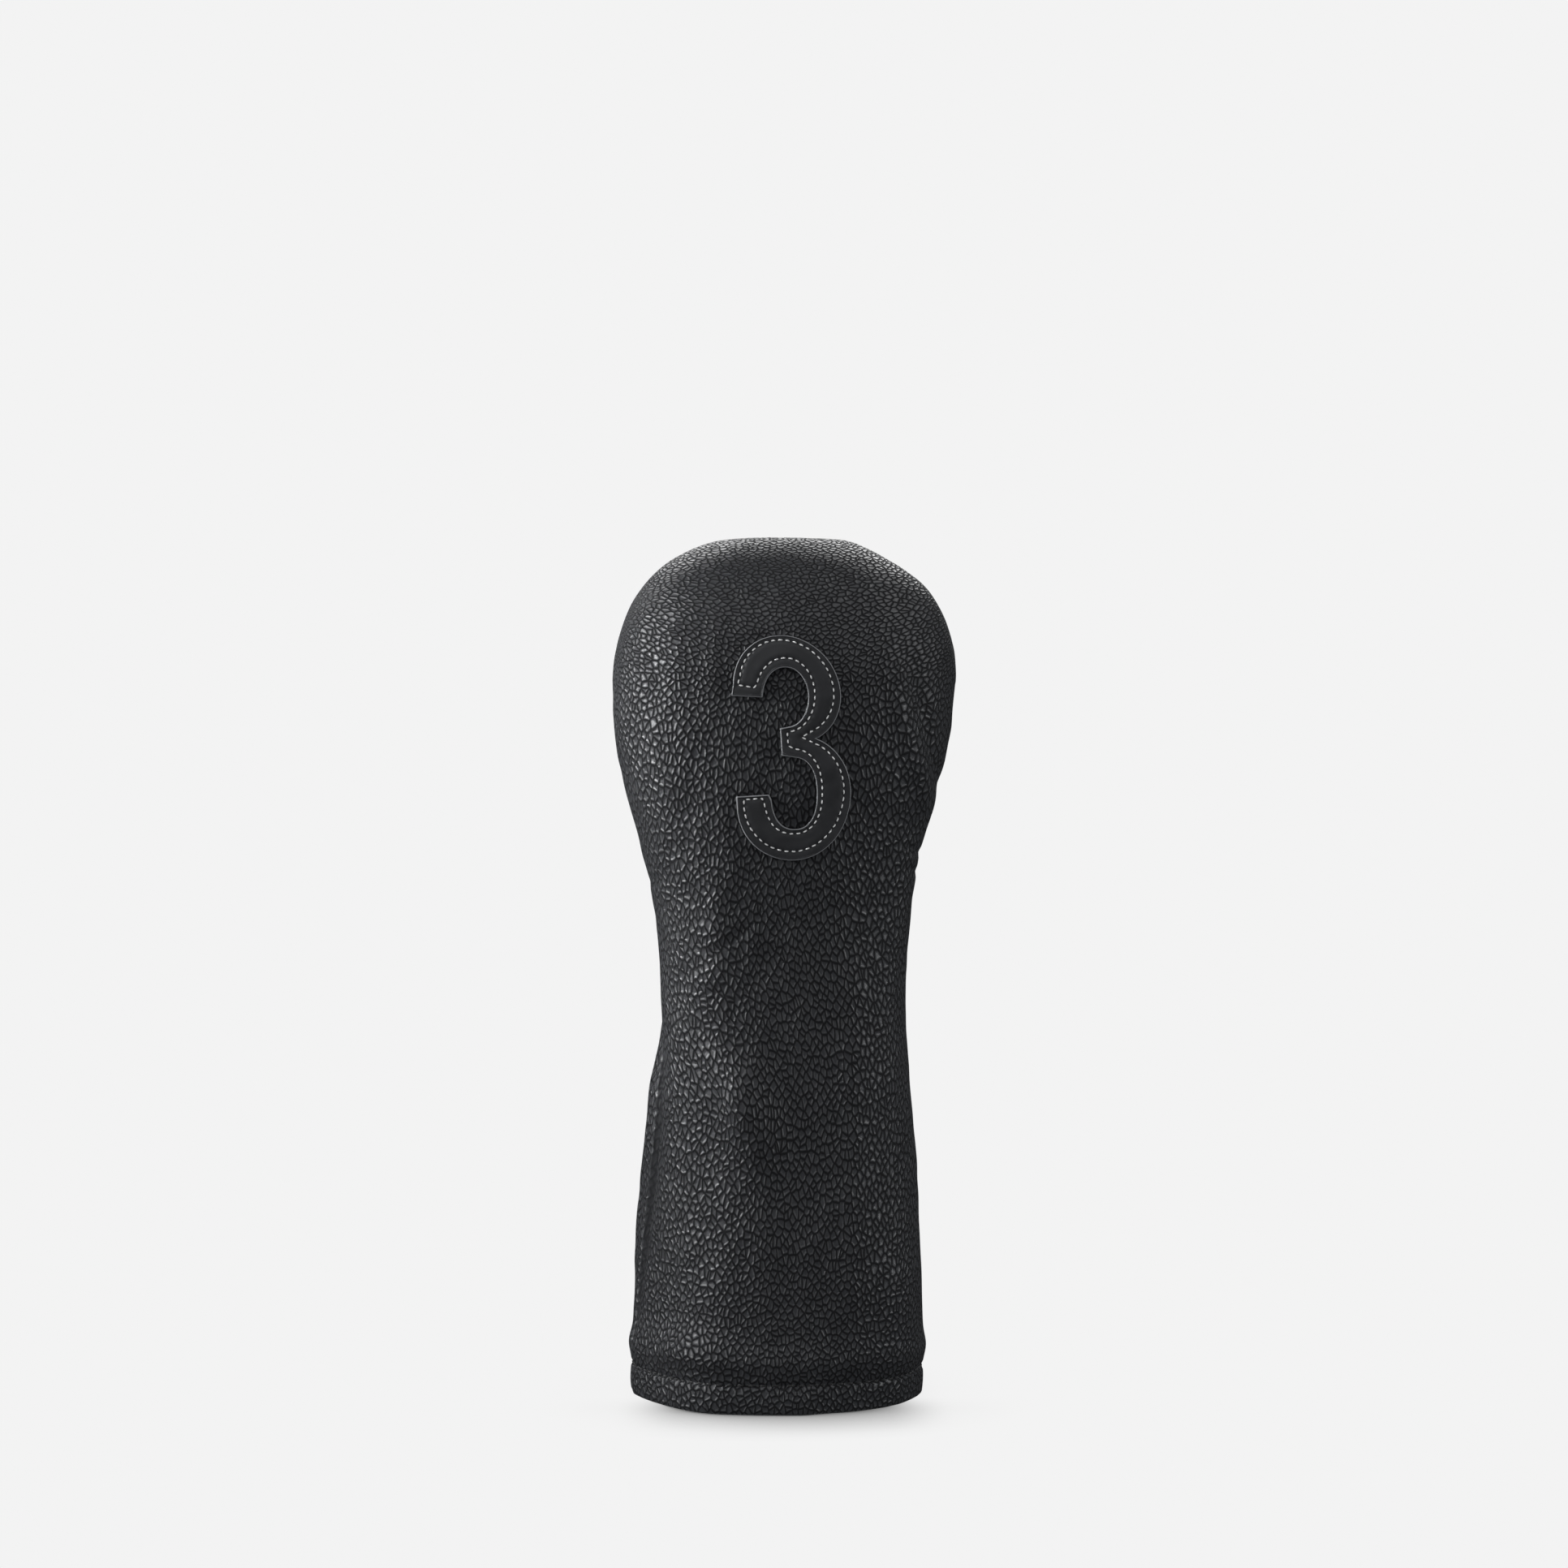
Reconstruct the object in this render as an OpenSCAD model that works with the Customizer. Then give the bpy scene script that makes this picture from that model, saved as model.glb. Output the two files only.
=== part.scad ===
// Leather head cover for a fairway wood.
// It stands on its open hem, with the closed padded head up and the numbered front facing -Y.
// The origin is the middle of the hem's lower edge.

/* [Overall size] */
// Height from the hem to the crown
cover_h = 305; // [297:1:313]
// Height at which the head is widest
head_z = 254; // [250:1:258]
// Width of the head at its widest
head_w = 122; // [118:1:126]
// Depth of the head, front to back
head_d = 92; // [88:1:96]
// Height at which the neck is narrowest
neck_z = 142; // [136:1:148]
// Width of the neck
neck_w = 88; // [86:1:92]
// Depth of the neck, front to back
neck_d = 76; // [74:1:80]
// Height below which the skirt no longer flares
flare_z = 30; // [20:1:40]
// Width of the skirt at the hem
hem_w = 103; // [99:1:106]
// Depth of the skirt at the hem
hem_d = 84; // [80:1:88]
// How far the gathered back panel puffs out on the left of the skirt
billow = 5; // [0:0.5:6]

/* [Shape] */
// Squareness of the horizontal sections, 2 being an ellipse
plan_power = 2.3; // [2.1:0.1:2.6]
// Squareness of the crown as seen from the front
crown_power = 2.35; // [2.1:0.05:2.6]
// Squareness of the crown as seen from the side
crown_side_power = 2.15; // [2:0.05:2.5]
// How far round behind the sides the seam runs on the head, in degrees
seam_behind = 8; // [4:1:12]
// How far round in front of the sides the seam runs on the skirt, in degrees
seam_ahead = 8; // [4:1:12]

/* [Layers] */
// Thickness of the leather
leather_t = 1.3; // [1:0.1:1.5]
// Thickness of the foam padding
padding_t = 3; // [2:0.1:3.2]
// Thickness of the fleece lining
lining_t = 2.5; // [2:0.1:3]
// Clearance between two layers
layer_gap = 0.3; // [0.2:0.05:0.35]
// Height of the turned-up hem
hem_fold_h = 13; // [12:0.5:15]

/* [Elastic] */
// Height of the elastic's middle
elastic_z = 144; // [140:1:148]
// Width of the elastic
elastic_w = 25; // [20:1:28]
// Thickness of the elastic
elastic_t = 1.2; // [0.8:0.1:1.3]
// Angle round the back that the elastic covers
elastic_arc = 140; // [120:1:150]

/* [Number] */
// Height of the number's middle
number_z = 230; // [226:0.5:232]
// Offset of the number's middle from the centre line
number_x = 1.9; // [-3:0.1:3]
// Tilt of the number, counter-clockwise in degrees
number_tilt = 4.2; // [0:0.1:6]
// Size of the number, 1 being 78 mm high
number_scale = 1; // [0.9:0.01:1.02]
// Thickness of the number's leather
patch_t = 1.6; // [1:0.1:2]
// Distance of the stitching from the number's edge
stitch_inset = 2.5; // [2:0.1:2.8]

/* [Stitching] */
// Pitch of the number's stitches
number_pitch = 2.4; // [2.2:0.1:3]
// Pitch of the hem's stitches
hem_pitch = 3.2; // [3:0.1:4]
// Pitch of the seam stitches
seam_pitch = 5; // [4.5:0.1:6]
// Thickness of the thread
thread_t = 0.6; // [0.4:0.05:0.65]
// Height of the hem's stitching
hem_stitch_z = 10.3; // [9:0.1:11]

/* [Hidden] */

// Columns round each half and rows up to the crown
leather_cols = 24;
inner_cols = 12;
row_step = 14;
crown_rows = 8;

// Depth below the leather's outer face of each layer's outer face
padding_off = leather_t + layer_gap;
lining_off = padding_off + padding_t + layer_gap;
lining_hem_off = 2 * leather_t + layer_gap;
elastic_off = leather_t + 2 * layer_gap;
casing_off = elastic_off + elastic_t + layer_gap / 2;
casing_t = 0.6;
casing_lap = 4;

// Lower edges of the inner layers
lining_z0 = 3;
padding_z0 = 22;
back_padding_z0 = elastic_z + elastic_w / 2 + 14;
fold_ramp = 0.5;
lining_ramp = 6;

// The padding stops short of the seams, in degrees
seam_clear = 5;

// Bowls and eyes of the number in its own plane.
// Each is [middle x, middle z, half width, half height, squareness, lean].
upper_bowl = [0.55, 19.6, 17.3, 19.6, 2, 38];
lower_bowl = [0.1, -17.2, 19.2, 21.7, 2.1, -18];
upper_eye = [-0.1, 17.2, 7.6, 10.1, 2.05, -2];
lower_eye = [0.4, -15.8, 7.7, 12.15, 2.3, -4];
// Corners of its two ends, outer then inner, the notch between its bowls, and its middle arm
upper_end = [[-18.5, 19], [-7.9, 17.7]];
lower_end = [[-19.4, -15.4], [-8.1, -15.5]];
notch = [9.4, 2.5];
arm_x = -2.8;
arm_high = 6.8;
arm_low = -2.7;
// How far the stitching is drawn in at the two ends, and set up from the middle of the stroke
upper_row_inset = 2.95;
lower_row_inset = 1.95;
row_rise = 0.7;
patch_gap = 0.1;
thread_gap = 0.05;
thread_w = 0.65;

function clamp01(s) = max(0, min(1, s));
function blend(s) = (1 - cos(180 * clamp01(s))) / 2;
function mix(a, b, s) = a + (b - a) * s;
function spow(c, p) = sign(c) * pow(abs(c), 2 / p);
function unit(v) = v / norm(v);

// Half size of the body below its widest level: hem, neck and head joined by smooth flares
function flared(z, hem, neck, head) =
    z < neck_z ? mix(neck, hem, blend((neck_z - z) / (neck_z - flare_z))) / 2
    : mix(neck, head, blend((z - neck_z) / (head_z - neck_z))) / 2;

// Share of the widest size that the crown still has at height z, for a layer at depth t
function crown(z, t, power) =
    pow(max(0, 1 - pow((z - head_z) / (cover_h - t - head_z), power)), 1 / power);

function half_w(z, t) =
    z > head_z ? (head_w / 2 - t) * crown(z, t, crown_power)
    : flared(z, hem_w, neck_w, head_w) - t;
function half_d(z, t) =
    z > head_z ? (head_d / 2 - t) * crown(z, t, crown_side_power)
    : flared(z, hem_d, neck_d, head_d) - t;

// The back panel puffs out behind the left seam, between the hem and the neck
function puff(u, z) =
    u > 180 && u < 270 && z < neck_z
    ? -billow * sin(2 * (u - 180)) * pow(sin(180 * z / neck_z), 2) : 0;

// The body's surface at angle u (0 right, 90 front, 180 left, 270 back) and depth t
function skin(u, z, t) = [
    half_w(z, t) * spow(cos(u), plan_power) + puff(u, z),
    -half_d(z, t) * spow(sin(u), plan_power),
    z
];

// The front of the surface above the point x, z
function front_y(x, z, t) =
    -half_d(z, t) * pow(1 - pow(abs(x) / half_w(z, t), plan_power), 1 / plan_power);

// Angle of the right seam at height z: ahead of the side on the skirt, behind it on the head,
// and straight over the middle of the crown
function seam_u(z) =
    z > head_z ? -seam_behind * (1 - blend((z - head_z) / (cover_h - head_z)))
    : mix(seam_ahead, -seam_behind, blend((z - flare_z) / (neck_z - flare_z)));

// Angles of the columns between the seams, over the front or over the back
function cols(n, z, back, clear) =
    let (a = seam_u(z))
    [for (i = [0:n]) back ? mix(180 - a + clear, 360 + a - clear, i / n)
        : mix(a + clear, 180 - a - clear, i / n)];

// Heights of a layer's rows from z0 to just below the crown, for a layer at depth t
function row_z(z0, extra, t) = concat(
    [z0], extra,
    [for (z = [row_step:row_step:head_z - 1]) if (z > max(concat([z0], extra)) + 1) z],
    [for (i = [0:crown_rows - 1])
        head_z + (cover_h - t - head_z) * spow(sin(90 * i / crown_rows), crown_power)]
);

// Four-sided faces of a grid of points, nx by nz cells
function grid_faces(nx, nz) = [
    for (j = [0:nz - 1]) for (i = [0:nx - 1]) let (a = j * (nx + 1) + i, b = a + nx + 1) [a, a + 1, b + 1, b]
];

// Closed shell between two depths. A row is [height outside, depth, height inside, depth].
module shell(rows, n, back, clear, closed) {
    r = len(rows);
    m = n + 1;
    outer = [for (w = rows) for (u = cols(n, w[0], back, clear)) skin(u, w[0], w[1])];
    inner = [for (w = rows) for (u = cols(n, w[2], back, clear)) skin(u, w[2], w[3])];
    last = rows[r - 1];
    poles = closed ? [[0, 0, cover_h - last[1]], [0, 0, cover_h - last[3]]] : [];
    k = r * m;
    grid = grid_faces(n, r - 1);
    top = (r - 1) * m;
    walls = [
        for (j = [0:r - 2]) [j * m, (j + 1) * m, k + (j + 1) * m, k + j * m],
        for (j = [0:r - 2]) [j * m + n, k + j * m + n, k + (j + 1) * m + n, (j + 1) * m + n]
    ];
    foot = [for (i = [0:n - 1]) [i, k + i, k + i + 1, i + 1]];
    rim = [for (i = [0:n - 1]) [top + i, top + i + 1, k + top + i + 1, k + top + i]];
    cap = [
        for (i = [0:n - 1]) [top + i, top + i + 1, 2 * k],
        for (i = [0:n - 1]) [k + top + i + 1, k + top + i, 2 * k + 1],
        [top, 2 * k, 2 * k + 1, k + top],
        [top + n, k + top + n, 2 * k + 1, 2 * k]
    ];
    faces = concat(
        [for (f = grid) f],
        [for (f = grid) [k + f[3], k + f[2], k + f[1], k + f[0]]],
        walls, foot, closed ? cap : rim
    );
    polyhedron(concat(outer, inner, poles), [for (f = faces) for (q = halves(f)) q]);
}

// A face as triangles
function halves(f) = len(f) == 3 ? [f] : [[f[0], f[1], f[2]], [f[0], f[2], f[3]]];

// Rows of a layer that reaches the crown, with depths from two functions of the height
function layer_rows(z0, extra, out_t, in_t) =
    let (a = row_z(z0, extra, out_t(head_z)), b = row_z(z0, extra, in_t(head_z)))
    [for (i = [0:len(a) - 1]) [a[i], out_t(a[i]), b[i], in_t(b[i])]];

// Rows of a band that stays below the head
function band_rows(z0, z1, t, thick) =
    [for (i = [0:3]) let (z = mix(z0, z1, i / 3)) [z, t, z, t + thick]];

// Leather is doubled where the hem is turned up
function leather_in(z) = z < hem_fold_h ? 2 * leather_t : leather_t;
function lining_out(z) =
    mix(lining_hem_off, lining_off, clamp01((z - hem_fold_h - fold_ramp) / lining_ramp));

module panel(back) {
    rows = layer_rows(0, [hem_fold_h - fold_ramp, hem_fold_h + fold_ramp],
        function (z) 0, function (z) leather_in(z));
    shell(rows, leather_cols, back, 0.1, true);
}

module padding(back, z0) {
    rows = layer_rows(z0, [], function (z) padding_off, function (z) padding_off + padding_t);
    shell(rows, inner_cols, back, seam_clear, true);
}

module lining(back) {
    fold_top = hem_fold_h + fold_ramp;
    rows = layer_rows(lining_z0, [fold_top, fold_top + lining_ramp],
        function (z) lining_out(z), function (z) lining_out(z) + lining_t);
    shell(rows, inner_cols, back, 0.2, true);
}

module neck_band(width, t, thick, arc) {
    rows = band_rows(elastic_z - width / 2, elastic_z + width / 2, t, thick);
    shell(rows, inner_cols, true, (180 - arc) / 2, false);
}

// Stitches as small boxes in one body. Each is [middle, direction, outward].
module stitches(list, length, width, height) {
    corners = [
        for (s = list) let (a = unit(s[1]), b = unit(cross(s[2], a)), c = cross(a, b))
        for (dz = [-1, 1]) for (q = [[-1, -1], [1, -1], [1, 1], [-1, 1]])
        s[0] + a * q[0] * length / 2 + b * q[1] * width / 2 + c * dz * height / 2
    ];
    box = [[3, 2, 1, 0], [4, 5, 6, 7], [0, 1, 5, 4], [1, 2, 6, 5], [2, 3, 7, 6], [3, 0, 4, 7]];
    polyhedron(corners, [
        for (i = [0:len(list) - 1]) for (f = box) for (h = halves(f)) [for (k = [2:-1:0]) h[k] + 8 * i]
    ]);
}

// Stitches round a level from angle u0 to u1, at depth t
function level_run(z, t, u0, u1, count) = [
    for (i = [0:count - 1]) let (u = mix(u0, u1, (i + 0.5) / count))
    [skin(u, z, t), skin(u + 1, z, t) - skin(u - 1, z, t), skin(u, z, t - 1) - skin(u, z, t)]
];

// Stitches along a seam from the hem to the crown, at depth t
function seam_point(s, t, left) =
    let (u = seam_u(s), z = s) skin(left ? 180 - u : u, z, t);
function seam_run(t, left, z0, z1, count) = [
    for (i = [0:count - 1])
    let (
        bend = 90 * (i + 0.5) / count,
        z = z0 + (z1 - z0) * pow(sin(bend), 0.8),
        p = seam_point(z, t, left)
    )
    [p, seam_point(z + 0.5, t, left) - seam_point(z - 0.5, t, left), [p[0], p[1] / 4, 0]]
];

// Points of a leaning oval arc from angle a0 to a1, its half sizes grown by d
function oval(o, d, a0, a1, n) = [
    for (i = [0:n])
    let (
        a = mix(a0, a1, i / n),
        x = (o[2] + d) * spow(cos(a), o[4]),
        z = (o[3] + d) * spow(sin(a), o[4])
    )
    [o[0] + x * cos(o[5]) - z * sin(o[5]), o[1] + x * sin(o[5]) + z * cos(o[5])]
];

// Outline of the number, drawn in by d, with its two end rows drawn in by eu and el
function number_outline(d, eu, el) = concat(
    [upper_end[0] + [d, eu]],
    oval(upper_bowl, -d, 135 - 2 * eu, -99, 20),
    [notch - [2 * d, 0]],
    oval(lower_bowl, -d, 82, -160 + 2 * el, 24),
    [lower_end[0] + [d, -el], lower_end[1] + [-d, -el]],
    oval(lower_eye - [0.16 * d, 0, 0, 0, 0, 0], 0.95 * d, -172 + 3 * el, 86, 16),
    [[arm_x + d, arm_low + d], [arm_x + d, arm_high - d]],
    oval(upper_eye, d, -82, 168 - 3 * eu, 16),
    [upper_end[1] + [-d, eu]]
);

// The number's own plane laid on the front of the cover
function placed(p) = let (q = p * number_scale) [
    number_x + q[0] * cos(number_tilt) - q[1] * sin(number_tilt),
    number_z + q[0] * sin(number_tilt) + q[1] * cos(number_tilt)
];

// Distance along a closed path up to each of its points
function run_lengths(path, i = 0, sum = 0) =
    i == len(path) ? [sum]
    : concat([sum], run_lengths(path, i + 1, sum + norm(path[(i + 1) % len(path)] - path[i])));

// Point of a closed path at the distance s
function path_point(path, sums, s) =
    let (
        i = max([for (j = [0:len(path) - 1]) if (sums[j] <= s) j]),
        a = path[i],
        b = path[(i + 1) % len(path)]
    )
    mix(a, b, (s - sums[i]) / max(1e-6, sums[i + 1] - sums[i]));

function on_front(p, t) = [p[0], front_y(p[0], p[1], t), p[1]];

function number_run(t) =
    let (
        row = number_outline(stitch_inset, upper_row_inset, lower_row_inset),
        path = [for (p = row) placed(p + [0, row_rise])],
        sums = run_lengths(path),
        total = sums[len(path)],
        count = round(total / number_pitch)
    )
    [
        for (i = [0:count - 1])
        let (
            s = total * (i + 0.5) / count,
            reach = number_pitch * 0.3,
            a = on_front(path_point(path, sums, s - reach), t),
            b = on_front(path_point(path, sums, s + reach), t),
            p = path_point(path, sums, s)
        )
        [on_front(p, t), b - a, on_front(p, t - 1) - on_front(p, t)]
    ];

// A block of the body's front between two depths, as wide and high as the number
module front_block(t0, t1) {
    half = 28;
    z0 = number_z - 44;
    z1 = number_z + 44;
    nx = 12;
    nz = 14;
    m = nx + 1;
    k = m * (nz + 1);
    layer = function (t) [
        for (j = [0:nz]) for (i = [0:nx]) on_front([mix(-half, half, i / nx), mix(z0, z1, j / nz)], t)
    ];
    grid = grid_faces(nx, nz);
    faces = concat(
        [for (f = grid) [f[3], f[2], f[1], f[0]]],
        [for (f = grid) [k + f[0], k + f[1], k + f[2], k + f[3]]],
        [for (i = [0:nx - 1]) [i, i + 1, k + i + 1, k + i]],
        [for (i = [0:nx - 1]) let (a = nz * m + i) [a + 1, a, k + a, k + a + 1]],
        [for (j = [0:nz - 1]) let (a = j * m) [a + m, a, k + a, k + a + m]],
        [for (j = [0:nz - 1]) let (a = j * m + nx) [a, a + m, k + a + m, k + a]]
    );
    polyhedron(concat(layer(t0), layer(t1)), [for (f = faces) for (h = halves(f)) h]);
}

module front_panel() {
    color("#2b2b2e") panel(false);
}

module back_panel() {
    color("#232326") panel(true);
}

module front_padding() {
    color("#c9c3b4") padding(false, padding_z0);
}

module back_padding() {
    color("#c9c3b4") padding(true, back_padding_z0);
}

module front_lining() {
    color("#3a3a3c") lining(false);
}

module back_lining() {
    color("#333335") lining(true);
}

module neck_elastic() {
    color("#e8e6df") neck_band(elastic_w, elastic_off, elastic_t, elastic_arc);
}

module elastic_casing() {
    color("#1c1c1e") neck_band(elastic_w + 2 * casing_lap, casing_off, casing_t, elastic_arc + 6);
}

// The number cut from smooth leather, bent to the front of the head
module number_patch() {
    outline = [for (p = number_outline(0, 0, 0)) placed(p)];
    color("#26282b") intersection() {
        front_block(-patch_gap - patch_t, -patch_gap);
        rotate([90, 0, 0])
            linear_extrude(height = head_d)
                polygon(outline);
    }
}

module number_thread() {
    color("#9a9a98")
        stitches(number_run(-patch_gap - patch_t - thread_gap - thread_t / 2),
            number_pitch * 0.7, thread_w, thread_t);
}

module hem_thread() {
    round_hem = 3.1 * (hem_w + hem_d) / 2;
    color("#151517")
        stitches(level_run(hem_stitch_z, -thread_gap - thread_t / 2, 0, 360, round(round_hem / hem_pitch)),
            hem_pitch * 0.7, thread_w, thread_t);
}

module panel_seam_thread() {
    depth = leather_t + thread_gap + thread_t / 2;
    count = round(cover_h / seam_pitch);
    for (left = [false, true])
        color("#151517")
            stitches(seam_run(depth, left, hem_fold_h + 6, cover_h - 14, count),
                seam_pitch * 0.6, thread_w, thread_t);
}

module lining_seam_thread() {
    depth = lining_off + lining_t + 2 * thread_gap + thread_t / 2;
    count = round(cover_h / seam_pitch);
    for (left = [false, true])
        color("#202022")
            stitches(seam_run(depth, left, hem_fold_h + 12, cover_h - 24, count),
                seam_pitch * 0.6, thread_w, thread_t);
}

module elastic_thread() {
    row_gap = elastic_w / 2 + 2;
    back_run = elastic_arc * PI / 180 * neck_d / 2;
    for (side = [-1, 1])
        color("#151517")
            stitches(
                level_run(elastic_z + side * row_gap, -thread_gap - thread_t / 2,
                    270 - elastic_arc / 2, 270 + elastic_arc / 2, round(back_run / hem_pitch)),
                hem_pitch * 0.7, thread_w, thread_t);
}

front_panel();
back_panel();
front_padding();
back_padding();
front_lining();
back_lining();
neck_elastic();
elastic_casing();
number_patch();
number_thread();
hem_thread();
panel_seam_thread();
lining_seam_thread();
elastic_thread();
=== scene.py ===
"""Looks of a leather fairway wood head cover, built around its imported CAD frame.

Lengths in this file are millimetres in the row frame (x right, y back, z up) until mesh() turns
them into metres. The cover's skin is one function, skin(u, z): u is the angle round the body, 0 at
the right side, 90 degrees at the front, 180 at the left side and 270 at the back.
"""

import math

import bpy
import numpy as np
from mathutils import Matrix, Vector
from mathutils.bvhtree import BVHTree
from mathutils.geometry import delaunay_2d_cdt


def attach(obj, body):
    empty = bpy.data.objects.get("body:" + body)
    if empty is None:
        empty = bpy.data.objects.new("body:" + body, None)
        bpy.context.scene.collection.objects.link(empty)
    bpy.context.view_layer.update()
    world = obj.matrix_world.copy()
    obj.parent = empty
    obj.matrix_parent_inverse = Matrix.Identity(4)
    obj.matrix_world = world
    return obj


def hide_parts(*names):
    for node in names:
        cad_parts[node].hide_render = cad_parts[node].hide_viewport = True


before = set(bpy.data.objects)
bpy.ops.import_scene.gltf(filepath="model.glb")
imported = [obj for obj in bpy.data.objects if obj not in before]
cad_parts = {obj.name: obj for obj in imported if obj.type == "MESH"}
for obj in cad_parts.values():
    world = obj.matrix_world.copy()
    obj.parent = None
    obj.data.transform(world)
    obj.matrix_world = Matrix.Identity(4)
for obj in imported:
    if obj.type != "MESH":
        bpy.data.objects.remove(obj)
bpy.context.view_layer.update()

MM = 0.001
BODY = "root"

# ---------------------------------------------------------------- sizes

WIDEST = 254.0          # height of the head's widest part, where the crown starts
TOP = 305.0
LEATHER = 1.3           # thicknesses of the layers, and the gap between them
PADDING = 3.0
LINING = 2.5
GAP = 0.3
PADDING_OFF = LEATHER + GAP     # depths under the skin where a layer starts
LINING_OFF = PADDING_OFF + PADDING + GAP
HEM_FOLD = 13.0         # how far up the hem is turned, and the height of its stitching
HEM_STITCH = 10.3
PATCH_OFF = 0.1         # the number's gap to the leather, and its thickness
PATCH = 1.6


# ---------------------------------------------------------------- helpers

def smooth(s):
    """Eases from 0 to 1 as s goes from 0 to 1."""
    s = np.clip(s, 0.0, 1.0)
    return s * s * (3 - 2 * s)


def bell(d, width):
    """1 at distance 0, falling off over the width."""
    return np.exp(-((d / width) ** 2))


def power(c, p):
    """Bends a cosine or sine so that its oval grows square as p rises over 2."""
    return np.sign(c) * np.abs(c) ** (2 / p)


def curve(points, z):
    """A smooth curve through given (z, value) points, level past its ends."""
    zs = np.array([p[0] for p in points], float)
    vs = np.array([p[1] for p in points], float)
    slope = np.gradient(vs, zs)
    z = np.clip(np.asarray(z, float), zs[0], zs[-1])
    i = np.clip(np.searchsorted(zs, z) - 1, 0, len(zs) - 2)
    h = zs[i + 1] - zs[i]
    t = (z - zs[i]) / h
    return (
        (2 * t**3 - 3 * t**2 + 1) * vs[i] + (t**3 - 2 * t**2 + t) * h * slope[i]
        + (3 * t**2 - 2 * t**3) * vs[i + 1] + (t**3 - t**2) * h * slope[i + 1]
    )


class Waves:
    """Smooth repeatable noise: a sum of plane waves with seeded directions and phases."""

    def __init__(self, seed, length, stretch=(1, 1, 1), count=24):
        r = np.random.RandomState(seed)
        way = r.normal(size=(count, 3))
        way /= np.linalg.norm(way, axis=1)[:, None]
        pace = r.uniform(0.6, 1.5, (count, 1))
        self.k = way * (2 * math.pi / length) * pace / np.array(stretch)
        self.phase = r.uniform(0, 2 * math.pi, count)
        self.norm = math.sqrt(2 / count)

    def __call__(self, p):
        out = np.zeros(p.shape[:-1])
        for k, phase in zip(self.k, self.phase):
            out += np.sin(p @ k + phase)
        return out * self.norm


# ---------------------------------------------------------------- the skin

# Half widths and half depths of the body, as (height, size)
RIGHT = [(0, 49.2), (16, 49.9), (40, 49.5), (74, 47.3), (109, 45.0), (144, 43.7), (161, 43.9),
         (178, 45.5), (202, 50.3), (219, 56.2), (237, 59.9), (WIDEST, 61.3)]
LEFT = [(0, 54.8), (14, 54.4), (31, 52.4), (51, 49.6), (77, 46.2), (109, 43.8), (126, 43.0),
        (144, 43.2), (161, 44.4), (178, 46.9), (202, 52.6), (219, 57.1), (237, 60.4),
        (WIDEST, 61.4)]
FRONT = [(0, 42.2), (40, 41.5), (90, 39.5), (142, 38.2), (185, 40.5), (225, 44.6), (WIDEST, 46.0)]
BACK = [(0, 42.0), (40, 42.5), (90, 40.5), (142, 36.0), (185, 40.0), (225, 44.8), (WIDEST, 46.0)]
PLAN_POWER = 2.3        # squareness of the sections; an oval has 2
CROWN_WIDE = (2.4, 2.3)     # powers of the crown's ovals seen from the front, then from the side
CROWN_DEEP = (2.15, 2.15)
CROWN_RISE = 52.5
CROWN_CENTRE = 262      # over the crown, outwards is away from this height
CROWN_SOFT = 303.2      # above this height the crown flattens off, by at most CROWN_SOFT_H
CROWN_SOFT_H = 1.9
SHOULDER_DROP = 3.4     # how much the right shoulder slopes in
SKIRT_TURN = 9          # how far the skirt's left side is turned back


def crown_share(z, p, q):
    """The part of the widest size that is left at each height of the crown."""
    h = np.clip((z - WIDEST) / CROWN_RISE, 0.0, 1.0)
    return (1 - h**q) ** (1 / p)


def plan_power(u, z):
    """Squareness: fuller front corners on the neck, a rounder front left on the skirt."""
    c = np.cos(u)
    neck, skirt, hem = bell(z - 168, 36), smooth((122 - z) / 40), smooth((34 - z) / 34)
    left = 0.55 * neck - 0.42 * skirt + 0.5 * hem
    right = 0.5 * bell(z - 110, 75)
    corner = left + (right - left) * smooth(c * 2 + 0.5)
    right_foot = 0.6 * smooth((45 - z) / 45) * smooth(c * 3)
    return PLAN_POWER + corner * np.clip(np.sin(u), 0, 1) - right_foot


def skin(u, z):
    """The smooth body at angle u (radians) and height z, without folds."""
    c, s = np.cos(u), np.sin(u)
    wide = crown_share(z, *CROWN_WIDE)
    deep = crown_share(z, *CROWN_DEEP)
    a = np.where(c >= 0, curve(RIGHT, z), curve(LEFT, z)) * wide
    b = np.where(s >= 0, curve(FRONT, z), curve(BACK, z)) * deep
    p = plan_power(u, z)
    shoulder = SHOULDER_DROP * bell(z - 299, 8) * np.clip(wide / 0.35, 0, 1)
    a = a - np.where(c > 0, shoulder, 0.0)
    x = a * power(c, p) - billow(u, z)
    y = -b * power(s, p) + SKIRT_TURN * smooth((-c - 0.35) / 0.65) * smooth((105 - z) / 85)
    over = np.maximum(0, z - CROWN_SOFT)
    top = np.where(over > 0, CROWN_SOFT + CROWN_SOFT_H * (1 - np.exp(-over / CROWN_SOFT_H)), z)
    return np.stack([x, y, top], -1)


SEAM_LEFT_SKIRT, SEAM_RIGHT_SKIRT, SEAM_HEAD = 7.0, -4.0, -9.0


def seam_angle(z, left):
    """How far the seam runs in front of the side, in radians: behind it on the head."""
    ahead = SEAM_LEFT_SKIRT if left else SEAM_RIGHT_SKIRT
    head = smooth((TOP - z) / 45) * SEAM_HEAD
    return np.radians(ahead + (head - ahead) * smooth((z - 95) / 70))


BILLOW = [(0, 0), (10, 0.3), (24, 1.4), (38, 2.8), (52, 4.2),
          (67, 5.0), (96, 5.1), (110, 4.3), (125, 1.6), (142, 0)]
BILLOW_WIDTH = 60       # degrees behind the seam


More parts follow.
